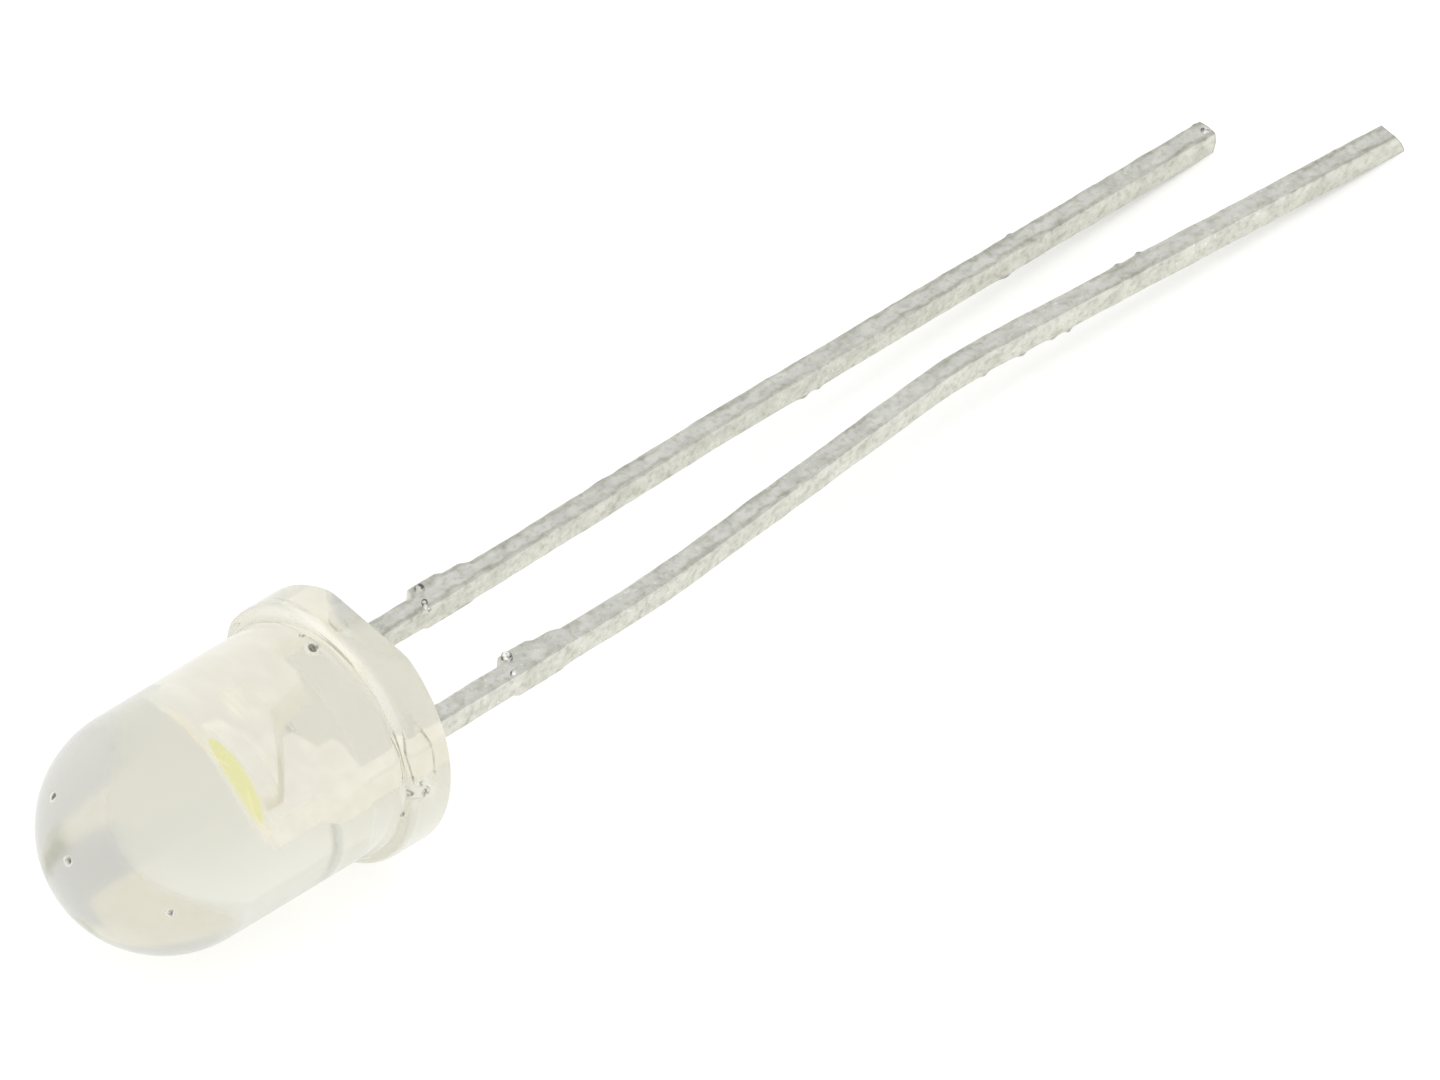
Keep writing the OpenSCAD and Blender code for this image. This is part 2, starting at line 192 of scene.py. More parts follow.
class StageSettings(bpy.types.PropertyGroup):
    """Floor, light and camera"""
    floor_radius: length("Floor radius", "Radius of the floor", 2500)
    floor_colour: colour("Floor", "Colour of the floor", (0.80, 0.80, 0.79))
    floor_lift: share("Floor lift", "White added where the camera sees the floor", 0.26)
    floor_glow: share("Floor glow", "White added where glass and metal show the floor", 0.16)
    sky: share("Sky", "Strength of the light from all round", 1.0)
    key_strength: number("Key light", "Brightness of the key light's surface", 1.5)
    key_size: length("Key size", "Edge of the key light", 120)
    key_from: direction("Key from", "Where the key light stands", (-0.10, 0.02, 0.16))
    shade_from: direction("Shade from", "The studio's shaded side", (-0.61, 0.2, 0.77))
    shade_colour: colour("Shade", "Colour of the shaded side", (0.76, 0.765, 0.775))
    camera_distance: length("Camera distance", "From the seating plane to the camera", 980)
    view_width: length("View width", "Width of the picture at the seating plane", 28.0)
    off_axis: angle("Off axis", "Between the lens's axis and the line of sight", 56.5)
    turn: angle("Turn", "Turn of the leads' plane about the lens's axis", 36.7)
    centre_right: length("Centre right", "Picture's centre, right of the seating plane's", 7.16)
    centre_up: length("Centre up", "Picture's centre, above the seating plane's", 3.37)


# Frame of the upright drawing, in which z is the lens's axis

def rest_tilt(lens, leads):
    """Angle by which the part lies tipped on its flange and lead tips: the arc tangent of the
    height that the leads drop over their mean length."""
    drop = lens.lens_radius + lens.flange_lip - leads.thickness / 2
    return math.atan(drop / ((leads.anode_length + leads.cathode_length) / 2))


def axes_at_rest(lens, leads):
    """Unit vectors at rest of the dome's direction, the anode's side and the sheet's front."""
    tilt = rest_tilt(lens, leads)
    dome = np.array([math.cos(tilt), 0, math.sin(tilt)])
    anode_side = np.array([0.0, 1.0, 0.0])
    front = np.array([-math.sin(tilt), 0, math.cos(tilt)])
    return dome, anode_side, front


def lay_down(points, lens, leads):
    """Upright points (x to the anode's side, y to the sheet's front, z to the dome) as they
    lie at rest: the sum of each coordinate times its axis at rest."""
    dome, anode_side, front = axes_at_rest(lens, leads)
    return points @ np.stack([anode_side, front, dome])


# Noise and meshes

def lattice(cells, seed):
    """A value from -1 to 1 for each whole-numbered cell, by multiplying, shifting and folding
    the bits of its three numbers and the seed."""
    mixed = cells.astype(np.int64) @ np.array([374761393, 668265263, 1442695041]) + seed * 97531
    mixed = (mixed ^ (mixed >> 13)) * 1274126177 & 0xFFFFFFFF
    return ((mixed ^ (mixed >> 16)) & 0xFFFF) / 32767.5 - 1


def noise(points, size, seed):
    """Smooth noise from -1 to 1: the values at the eight corners of each point's cell, of the
    given size, weighed by a smooth step along each axis."""
    scaled = points / size
    low = np.floor(scaled)
    part = scaled - low
    part = part * part * (3 - 2 * part)
    total = np.zeros(points.shape[:-1])
    for corner in np.ndindex(2, 2, 2):
        weight = np.prod(np.where(corner, part, 1 - part), axis=-1)
        total += weight * lattice(low + corner, seed)
    return total


def layered_noise(points, size, seed, layers=3):
    """Noise plus its own finer copies, each half as large and half as strong."""
    return sum(noise(points, size / 2 ** i, seed + i) / 2 ** i for i in range(layers))


def smooth_step(x, low, high):
    """0 below low, 1 above high, and 3t^2 - 2t^3 between them."""
    t = np.clip((x - low) / (high - low), 0, 1)
    return t * t * (3 - 2 * t)


def soft_least(a, b, rounding):
    """The smaller of two values, with the corner between them rounded: a less the rounding
    times the logarithm of 1 + e^((a - b) / rounding)."""
    return a - rounding * np.logaddexp(0, (a - b) / rounding)


def bell(x, middle, width):
    """A hump of height 1 at the middle that falls off as exp(-d^2) with d in widths."""
    return np.exp(-((x - middle) / width) ** 2)


def grid_faces(rows, columns):
    """Quads of a grid whose last column meets its first."""
    i, j = np.meshgrid(np.arange(rows - 1), np.arange(columns), indexing="ij")
    k = (j + 1) % columns
    return np.stack([i * columns + j, i * columns + k, (i + 1) * columns + k,
                     (i + 1) * columns + j], axis=-1).reshape(-1, 4)


def tube_parts(rings):
    """Points and faces of a closed surface through rings of points, its ends closed by fans
    to the middle of the first and last ring."""
    rows, columns = rings.shape[:2]
    points = np.concatenate([rings.reshape(-1, 3), rings[[0, -1]].mean(axis=1)])
    j = np.arange(columns)
    k = (j + 1) % columns
    first, last = rows * columns, rows * columns + 1
    base = (rows - 1) * columns
    start = np.stack([k, j, np.full(columns, first)], axis=-1)
    end = np.stack([base + j, base + k, np.full(columns, last)], axis=-1)
    return points, [grid_faces(rows, columns), start, end]


def outward(points, face_sets):
    """The faces turned, if the volume that they enclose comes out negative."""
    triangles = np.concatenate([np.concatenate([f[:, :3], f[:, [0, 2, 3]]])
                                if f.shape[1] == 4 else f for f in face_sets])
    a, b, c = (points[triangles[:, i]] for i in range(3))
    if np.einsum("ij,ij->i", a, np.cross(b, c)).sum() < 0:
        return [f[:, ::-1] for f in face_sets]
    return face_sets


def make_piece(name, shells, material, shades=None):
    """A smooth mesh piece of one or more closed shells, each given by its rings of points in
    the part's frame. It rides on the body and takes the material given to it.
    Shades, if given, hold one named value for each point of the one shell's rings."""
    points, faces, count = [], [], 0
    for rings in shells:
        shell, face_sets = tube_parts(rings)
        for face_set in outward(shell, face_sets):
            faces.extend((face_set + count).tolist())
        points.append(shell)
        count += len(shell)
    mesh = bpy.data.meshes.new(name)
    mesh.from_pydata(np.concatenate(points), [], faces)
    mesh.polygons.foreach_set("use_smooth", np.ones(len(mesh.polygons), dtype=bool))
    mesh.materials.append(material)
    for shade, values in (shades or {}).items():
        attribute = mesh.attributes.new(shade, "FLOAT", "POINT")
        ends = values[[0, -1]].mean(axis=1)
        attribute.data.foreach_set("value", np.concatenate([values.ravel(), ends]))
    mesh.update()
    piece = bpy.data.objects.new(name, mesh)
    bpy.context.scene.collection.objects.link(piece)
    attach(piece, BODY)
    return piece


# Materials

class Finish:
    """A node material under construction: a Principled shader and what feeds it."""

    def __init__(self, name):
        self.material = bpy.data.materials.new(name)
        self.material.use_nodes = True
        self.nodes = self.material.node_tree.nodes
        self.links = self.material.node_tree.links
        self.shader = self.nodes["Principled BSDF"]
        self.output = self.nodes["Material Output"]
        self.place = self.nodes.new("ShaderNodeTexCoord").outputs["Object"]

    def set(self, **values):
        """Sets sockets of the shader; an underscore in a name stands for a space."""
        for socket, value in values.items():
            self.shader.inputs[socket.replace("_", " ")].default_value = value

    def noise(self, size, detail=3, stretch=None):
        """Factor of a noise whose largest lumps are about the given size. The stretch says
        how many times longer the lumps are along each axis."""
        node = self.nodes.new("ShaderNodeTexNoise")
        node.inputs["Scale"].default_value = 1 / size
        node.inputs["Detail"].default_value = detail
        place = self.place
        if stretch:
            mapping = self.nodes.new("ShaderNodeMapping")
            mapping.inputs["Scale"].default_value = [1 / s for s in stretch]
            self.links.new(place, mapping.inputs["Vector"])
            place = mapping.outputs["Vector"]
        self.links.new(place, node.inputs["Vector"])
        return node.outputs["Fac"]

    def spread(self, source, low, high, to_low, to_high):
        """Maps a range of the source to another range."""
        node = self.nodes.new("ShaderNodeMapRange")
        for socket, value in (("From Min", low), ("From Max", high),
                              ("To Min", to_low), ("To Max", to_high)):
            node.inputs[socket].default_value = value
        self.links.new(source, node.inputs["Value"])
        return node.outputs["Result"]

    def blend(self, source, low, high, *colours):
        """Colour that runs through the given ones as the source runs from low to high."""
        ramp = self.nodes.new("ShaderNodeValToRGB")
        stops = ramp.color_ramp.elements
        while len(stops) < len(colours):
            stops.new(0.5)
        for i, shade in enumerate(colours):
            stops[i].position = low + (high - low) * i / (len(colours) - 1)
            stops[i].color = (*shade, 1)
        self.links.new(source, ramp.inputs["Fac"])
        return ramp.outputs["Color"]

    def attribute(self, name):
        """One of the mesh's own values."""
        node = self.nodes.new("ShaderNodeAttribute")
        node.attribute_name = name
        return node.outputs["Fac"]

    def colour(self, shade):
        """One colour."""
        node = self.nodes.new("ShaderNodeRGB")
        node.outputs["Color"].default_value = (*shade, 1)
        return node.outputs["Color"]

    def mix(self, share, first, second):
        """Colour that goes from the first to the second with the share."""
        node = self.nodes.new("ShaderNodeMix")
        node.data_type = "RGBA"
        self.links.new(share, node.inputs["Factor"])
        self.links.new(first, node.inputs[COLOUR_A])
        self.links.new(second, node.inputs[COLOUR_B])
        return node.outputs[COLOUR_RESULT]

    def multiply(self, first, second):
        """Product of two colours."""
        node = self.nodes.new("ShaderNodeVectorMath")
        node.operation = "MULTIPLY"
        self.links.new(first, node.inputs[0])
        self.links.new(second, node.inputs[1])
        return node.outputs["Vector"]

    def add(self, first, second):
        """Sum of two values."""
        node = self.nodes.new("ShaderNodeMath")
        self.links.new(first, node.inputs[0])
        self.links.new(second, node.inputs[1])
        return node.outputs["Value"]

    def feed(self, socket, source):
        """Links a source to a socket of the shader."""
        self.links.new(source, self.shader.inputs[socket])

    def mottle(self, source, low, high, share, shade):
        """Base colour that runs from a share of a shade up to the shade."""
        self.feed("Base Color", self.blend(source, low, high, [share * c for c in shade], shade))

    def bump(self, source, height, strength=1.0):
        """Adds a bump of the given height, on top of any earlier one."""
        node = self.nodes.new("ShaderNodeBump")
        node.inputs["Distance"].default_value = height
        node.inputs["Strength"].default_value = strength
        self.links.new(source, node.inputs["Height"])
        normal = self.shader.inputs["Normal"]
        if normal.is_linked:
            self.links.new(normal.links[0].from_socket, node.inputs["Normal"])
        self.links.new(node.outputs["Normal"], normal)

    def let_light_through(self, mirrored, shadow):
        """Lets light from lamps, and light that metal in the clear body throws back, pass
        its surface, each with its own colour."""
        path = self.nodes.new("ShaderNodeLightPath")
        surface = self.shader.outputs["BSDF"]
        for rays, tint in (("Is Reflection Ray", mirrored), ("Is Shadow Ray", shadow)):
            clear = self.nodes.new("ShaderNodeBsdfTransparent")
            clear.inputs["Color"].default_value = (*tint, 1)
            mix = self.nodes.new("ShaderNodeMixShader")
            self.links.new(path.outputs[rays], mix.inputs["Fac"])
            self.links.new(surface, mix.inputs[1])
            self.links.new(clear.outputs["BSDF"], mix.inputs[2])
            surface = mix.outputs["Shader"]
        self.links.new(surface, self.output.inputs["Surface"])


def epoxy_material(settings):
    """Clear cast epoxy: refracting, creamier towards the flange, with soft waves from the
    mould."""
    finish = Finish("clear_epoxy")
    finish.set(Transmission_Weight=1, IOR=settings.ior)
    apart = finish.nodes.new("ShaderNodeSeparateXYZ")
    finish.links.new(finish.place, apart.inputs["Vector"])
    height = finish.spread(apart.outputs["X"], 0, settings.body_height, 0, 1)
    tint = finish.blend(height, 0.1, 0.6, settings.deep_tint, settings.tint)
    # Painted shade: grey where the nick is
    tint = finish.mix(finish.attribute("nick"), tint, finish.colour(settings.nick_shade_tint))
    # Painted highlight: paler along the flange's front edge
    finish.feed("Base Color", finish.mix(finish.attribute("edge_highlight"), tint,
                                         finish.colour(settings.edge_highlight_tint)))
    finish.feed("Roughness", finish.spread(finish.noise(0.8 * MM), 0.3, 0.7,
                                           settings.roughness / 2, settings.roughness))
    finish.bump(finish.noise(0.9 * MM, detail=1), 0.004 * MM, 0.6)
    finish.let_light_through([math.sqrt(c) for c in settings.tint], (0.97, 0.97, 0.96))
    return finish.material


def bubble_material(settings):
    """Air closed in by the epoxy, where light bends the other way, with painted shade in it."""
    finish = Finish("air_bubble")
    finish.set(Transmission_Weight=1, IOR=1 / settings.ior, Roughness=0.05)
    # Painted shade: dark spots over the bubbles
    shade_spots = finish.noise(0.14 * MM, detail=2)
    finish.feed("Base Color", finish.blend(shade_spots, 0.44, 0.56, settings.bubble_shade, (1, 1, 1)))
    finish.let_light_through((0.9, 0.9, 0.88), (0.97, 0.97, 0.96))
    return finish.material


def tin_material(settings):
    """Dipped tin: greyer on the faces of the sheet, creamier on its cut sides, where a painted
    reflection of the floor lies over the tin's own colour, and darker along the ridges
    between them where they stand out, a painted dark reflection; mottled all over, with
    painted glints in places and dull dross on the burrs."""
    finish = Finish("dipped_tin")
    finish.set(Metallic=1)
    mottle = finish.noise(0.3 * MM, detail=4, stretch=(1.5, 1, 1))
    grain = finish.noise(0.13 * MM, detail=3)
    sway = finish.spread(finish.noise(0.4 * MM, detail=4), 0.3, 0.7, -0.14, 0.14)
    place = finish.add(finish.attribute("edge"), sway)
    # Painted reflections: a dark line on the ridges and the floor's cream on the cut sides
    with_ridge_reflection = finish.blend(place, 0.06, 0.70, settings.tin_face, settings.tin_face,
                          settings.tin_ridge_reflection, settings.tin_side_with_reflection, settings.tin_side_with_reflection)
    flat = finish.blend(place, 0.06, 0.70, settings.tin_face, settings.tin_side_with_reflection)
    # Painted glints: small spots of near white
    glints = finish.spread(finish.noise(0.09 * MM, detail=1), 0.68, 0.72, 0, 1)
    flat = finish.mix(glints, flat, finish.colour((1, 1, 0.97)))
    runs = finish.spread(finish.noise(3 * MM, detail=1), 0.45, 0.58, 0, 0.8)
    ground = finish.mix(runs, with_ridge_reflection, flat)
    clouds = finish.blend(mottle, 0.34, 0.66, (0.82, 0.82, 0.81), (0.92, 0.92, 0.92),
                          (1, 1, 1))
    specks = finish.blend(grain, 0.30, 0.70, (0.80, 0.80, 0.77), (0.96, 0.96, 0.96),
                          (1, 1, 1))
    coat = finish.multiply(finish.multiply(ground, clouds), specks)
    dross = finish.spread(finish.attribute("dross"), 0.25, 1, 0, 0.8)
    coat = finish.mix(dross, coat, finish.colour(settings.tin_dross))
    finish.feed("Base Color", coat)
    finish.feed("Roughness", finish.spread(grain, 0.35, 0.65, settings.roughness + 0.12,
                                           settings.roughness - 0.08))
    finish.bump(mottle, 0.02 * MM, 0.9)
    finish.bump(grain, 0.006 * MM, 0.7)
    return finish.material


def bead_material(settings):
    """Beads of tin: smooth and bright, with patches of painted dark reflection."""
    finish = Finish("tin_beads")
    finish.set(Metallic=1)
    patches = finish.noise(0.14 * MM, detail=2)
    # Painted dark reflection in patches
    finish.feed("Base Color", finish.blend(patches, 0.42, 0.58, settings.bead_dark_reflection,
                                           (1, 1, 0.97)))
    finish.feed("Roughness", finish.spread(patches, 0.35, 0.65, 0.3, 0.1))
    finish.bump(patches, 0.006 * MM, 0.5)
    return finish.material


def plated_material(settings):
    """Silver plating on the stamped frame: pale, matt to satin, with a fine grain."""
    finish = Finish("silver_plating")
    # Painted glow: the plating gives off light of its own colour
    finish.set(Metallic=0.55, Emission_Color=(*settings.plate_colour, 1),
               Emission_Strength=settings.plate_painted_glow)
    patches = finish.noise(0.4 * MM, detail=3)
    finish.mottle(patches, 0.4, 0.65, 0.94, settings.plate_colour)
    finish.feed("Roughness", finish.spread(patches, 0.3, 0.7, 0.45, 0.35))
    finish.bump(finish.noise(0.05 * MM, detail=3), 0.001 * MM, 0.3)
    return finish.material


def phosphor_material(settings):
    """Phosphor grains in resin: matt yellow with paler and deeper specks, and a painted glow
    that lightens them."""
    finish = Finish("phosphor")
    grain = finish.noise(0.03 * MM, detail=4)
    deep = [0.85 * c for c in settings.phosphor]
    pale = [min(1, 1.08 * c) for c in settings.phosphor]
    finish.feed("Base Color", finish.blend(grain, 0.35, 0.65, deep, pale))
    # Painted glow on the phosphor
    finish.set(Roughness=0.7, Emission_Color=(*settings.phosphor, 1),
               Emission_Strength=settings.phosphor_painted_glow)
    finish.bump(grain, 0.003 * MM, 0.6)
    return finish.material


def chip_material(settings):
    """Chip: polished, faintly blue, with a finer patterned top."""
    finish = Finish("chip_crystal")
    lines = finish.noise(0.04 * MM, detail=1)
    finish.mottle(lines, 0.4, 0.6, 0.8, settings.chip)
    finish.set(Roughness=0.15, Metallic=0.3)
    return finish.material


def adhesive_material(settings):
    """Cured adhesive: cream, slightly uneven."""
    finish = Finish("die_adhesive")
    lumps = finish.noise(0.05 * MM, detail=3)
    finish.mottle(lumps, 0.35, 0.65, 0.85, settings.adhesive)
    finish.set(Roughness=0.5)
    finish.bump(lumps, 0.004 * MM, 0.5)
    return finish.material


def gold_material(settings):
    """Drawn gold wire, with a painted glow that lightens it in the epoxy."""
    finish = Finish("gold_wire")
    # Painted glow on the wires
    finish.set(Metallic=1, Emission_Color=(*settings.gold, 1),
               Emission_Strength=settings.gold_painted_glow)
    marks = finish.noise(0.02 * MM, detail=2)
    finish.mottle(marks, 0.4, 0.6, 0.85, settings.gold)
    finish.feed("Roughness", finish.spread(marks, 0.3, 0.7, 0.15, 0.3))
    return finish.material


def paint_node(node, material):
    """Gives a CAD node one material in all its slots."""
    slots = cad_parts[node].data.materials
    slots.clear()
    slots.append(material)


# Epoxy body

def epoxy_rings(lens, leads, columns=360):
    """Rings of the epoxy body. At each angle about the axis the profile runs from the middle
    of the seating plane out to the back edge, up the flange's side, over its front edge, in
    along the neck, up the barrel and over the dome. The flange's reach at an angle is the
    smaller of its radius and the flat's distance over the cosine, less the nick. Its
    shades say how far each point lies in the painted shade on the nick's end and in the
    painted highlight along the flange's front edge."""
    around = np.linspace(0, 2 * np.pi, columns, endpoint=False)[None, :]
    radius = lens.lens_radius
    dome_z = lens.body_height - radius
    full = radius + lens.flange_lip
    to_flat = (radius + lens.flat_lip) / np.maximum(-np.cos(around), 1e-6)
    reach = soft_least(full, to_flat, 0.02 * MM)
    lip = reach - radius
    front = np.minimum(lens.front_rounding, 0.6 * lip)
    neck = np.minimum(lens.neck_radius, 0.4 * lip)
    shift = lip - front - neck
    front_z = lens.flange_thickness - front
    neck_z = front_z + np.sqrt((front + neck) ** 2 - shift ** 2)
    meet = np.arctan2(neck_z - front_z, -shift)

    def run(steps):
        """Even steps from 0 to 1, one to a row."""
        return np.linspace(0, 1, steps)[:, None]

    face = run(60)[:-1] * (reach - lens.back_rounding)
    back = np.pi / 2 * run(10)[:-1]
    side = run(14)[:-1]
    over = meet * run(16)[:-1]
    under = meet * run(12)[:-1]
    barrel = run(70)[:-1]
    dome = np.pi / 2 * run(90)[:-1]
    level = np.zeros_like(face)
    ones = np.ones_like(reach)
    r = np.concatenate([
        face,
        reach - lens.back_rounding * (1 - np.sin(back)),
        reach * np.ones_like(side),
        reach - front * (1 - np.cos(over)),
        radius + neck - neck * np.cos(meet - under),
        radius * ones * np.ones_like(barrel),
        radius * ones * np.cos(dome)])
    z = np.concatenate([
        level,
        lens.back_rounding * (1 - np.cos(back)) * ones,
        lens.back_rounding + (front_z - lens.back_rounding) * side,
        front_z + front * np.sin(over),
        neck_z - neck * np.sin(meet - under),
        neck_z + (dome_z - neck_z) * barrel,
        dome_z + radius * np.sin(dome) * ones])
    facing = np.cos(around - lens.nick_turn)
    nick = (full - lens.nick_depth + z * math.tan(lens.nick_slant)) / np.maximum(facing, 0.1)
    cut = np.where(z < lens.flange_thickness, soft_least(r, nick, 0.015 * MM), r)
    # Share of the painted shade on the nick's end
    nick_shade = smooth_step(r - cut, 0, 0.1 * MM) \
        * smooth_step(around, lens.nick_turn - 0.1, lens.nick_turn + 0.2)
    # Share of the painted highlight along the flange's front edge
    highlight_share = bell(z, front_z + 0.6 * front, 0.09 * MM) * (r > radius + neck) \
        * smooth_step(np.cos(around - lens.nick_turn), 0.4, 0.9)
    r = cut
    x, y = r * np.cos(around), r * np.sin(around)
    for side_sign in (-1, 1):
        gap = np.hypot(np.maximum(np.abs(x - side_sign * leads.pitch / 2) - leads.width / 2, 0),
                       np.maximum(np.abs(y) - leads.thickness / 2, 0))
        climb = lens.collar_height * np.exp(-gap / (0.75 * lens.collar_width))
        z = z - np.where(z < lens.back_rounding / 2, climb, 0)
    points = np.stack([x, y, z], axis=-1)
    wave = lens.waviness * layered_noise(points, 1.6 * MM, EPOXY_SEED, 2)
    fade = smooth_step(z, 0, 0.2 * MM)
    outwards = np.stack([np.cos(around) * np.ones_like(r), np.sin(around) * np.ones_like(r),
                         np.zeros_like(r)], axis=-1)
    points = points + (wave * fade * smooth_step(r, 0, radius))[..., None] * outwards
    return lay_down(points, lens, leads), {"nick": nick_shade, "edge_highlight": highlight_share}


# Bubbles in the epoxy: height above the seating plane, distance from the axis, angle in
# degrees from the anode's side and radius, lengths in mm
BUBBLES = (
    (1.22, 2.25, 91, 0.17),
    (1.11, 2.35, 101, 0.08),
    (0.63, 2.50, 3, 0.15),
    (6.85, 1.53, 142, 0.10),
    (7.36, 0.39, 126, 0.11),
    (6.58, 1.75, -2, 0.09),
    (0.88, 2.44, -8, 0.11),
    (0.74, 2.60, 10, 0.08),
)


def ball(middle, radius, seed, roughness, rows=24, columns=32):
    """Rings of a ball about a point whose radius varies by a share with noise."""
    polar = np.linspace(0.02, np.pi - 0.02, rows)[:, None]
    around = np.linspace(0, 2 * np.pi, columns, endpoint=False)[None, :]
    unit = np.stack([np.sin(polar) * np.cos(around), np.sin(polar) * np.sin(around),
                     np.cos(polar) * np.ones_like(around)], axis=-1)
    lumpy = radius * (1 + roughness * noise(unit, 0.9, seed))
    return middle + lumpy[..., None] * unit


def bubble_rings(lens, leads):
    """Rings of each bubble: a lumpy ball."""
    shells = []
    for i, (height, distance, turn, radius) in enumerate(BUBBLES):
        turn = math.radians(turn)
        middle = np.array([distance * math.cos(turn), distance * math.sin(turn), height]) * MM
        shells.append(lay_down(ball(middle, radius * MM, BUBBLE_SEED + i, 0.25), lens, leads))
    return shells


class LED_OT_epoxy_body(bpy.types.Operator):
    """Builds the clear epoxy body with its dome, flange, flat, nick and bubbles"""
    bl_idname = "led.epoxy_body"
    bl_label = "Epoxy body"

    def execute(self, context):
        lens, leads = context.scene.led_epoxy, context.scene.led_leads
        rings, shades = epoxy_rings(lens, leads)
        shades = {name: values[1:] for name, values in shades.items()}
        piece = make_piece("epoxy_body", [rings[1:]], epoxy_material(lens), shades)
        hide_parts("lens_body")
        make_piece("air_bubbles", bubble_rings(lens, leads), bubble_material(lens))
        return {"FINISHED"}


# Leads

# How each lead is bent: the two straight runs before its bends and the radii of the bends in
# mm, and their angles in degrees
BENDS = {
    "cathode": ((4.9, 5.0), (40, 40), (1.15, 1.25)),
    "anode": ((5.7, 6.8), (30, 13), (4.9, 8.6)),
}


class Route:
    """Centre line of a lead: a straight run, a bend towards the cathode's side, a second run,
    a bend back, and a last run. The heading grows evenly along a bend, and the place is the
    running sum of its sine and cosine. Below the stub the whole lead leans to the table. The
    side is 1 for the anode's and -1 for the cathode's."""

    def __init__(self, side, length, back_length, bends, lens, leads, steps=4000):
        runs, radii = (tuple(v * MM for v in sizes) for sizes in bends[:2])
        angles = tuple(math.radians(v) for v in bends[2])
        arcs = [r * a for r, a in zip(radii, angles)]
        marks = np.cumsum([0, runs[0], arcs[0], runs[1], arcs[1]])
        heading = [0, 0, -angles[0], -angles[0], angles[1] - angles[0]]
        last = ((length - runs[0] - radii[0] * math.sin(angles[0]) - runs[1] * math.cos(angles[0])
                 - radii[1] * (math.sin(angles[0]) + math.sin(angles[1] - angles[0])))
                / math.cos(angles[1] - angles[0]))
        self.total = marks[-1] + last
        self.along = np.linspace(0, self.total, steps)
        turned = np.interp(self.along, marks, heading)
        step = self.along[1]
        sums = [np.concatenate([[0], np.cumsum((f[1:] + f[:-1]) / 2 * step)])
                for f in (np.sin(turned), np.cos(turned))]
        self.x = side * leads.pitch / 2 + sums[0]
        self.z = -sums[1]
        self.turned = turned
        self.stub = leads.stub_place
        tilt = rest_tilt(lens, leads)
        reach = back_length - self.stub
        half = leads.thickness / 2
        rim_low = (lens.back_rounding * (math.sin(tilt) + math.cos(tilt) - 1)
                   - (lens.lens_radius + lens.flange_lip) * math.cos(tilt))
        drop = rim_low + self.stub * math.sin(tilt)
        self.lean = tilt + math.asin(drop / math.hypot(reach, half)) + math.atan(half / reach)

    def place(self, along, across, front):
        """Upright points at distances along the lead, across it in the sheet's plane and to
        the sheet's front."""
        turned = np.interp(along, self.along, self.turned)
        x = np.interp(along, self.along, self.x) + across * np.cos(turned)
        z = np.interp(along, self.along, self.z) + across * np.sin(turned)
        below = z + self.stub
        lean = np.where(below < 0, self.lean, 0)
        y = front * np.cos(lean) - below * np.sin(lean)
        return np.stack([x, y, front * np.sin(lean) + below * np.cos(lean) - self.stub], axis=-1)


def lead_route(name, lens, leads):
    """Route of one of the two leads."""
    if name == "cathode":
        radius, half = leads.tip_radius, leads.thickness / 2
        back_length = leads.cathode_length - radius + math.sqrt(radius ** 2 - half ** 2)
        return Route(-1, leads.cathode_length, back_length, BENDS[name], lens, leads)
    return Route(1, leads.anode_length, leads.anode_length, BENDS[name], lens, leads)


def tip_reach(name, across, front, leads):
    """How far past the nominal end the tip lies at a point of its section: less where the
    cathode's end is rounded, and on a slant where the anode's is sheared."""
    if name == "cathode":
        bulge = np.sqrt(np.maximum(leads.tip_radius ** 2 - across ** 2 - front ** 2, 0))
        return bulge - leads.tip_radius + 2 * leads.tin_thickness
    slope = np.clip(front / leads.thickness + 0.5, 0, 1.1)
    return leads.tin_thickness - 0.8 * leads.shear * slope ** 1.4


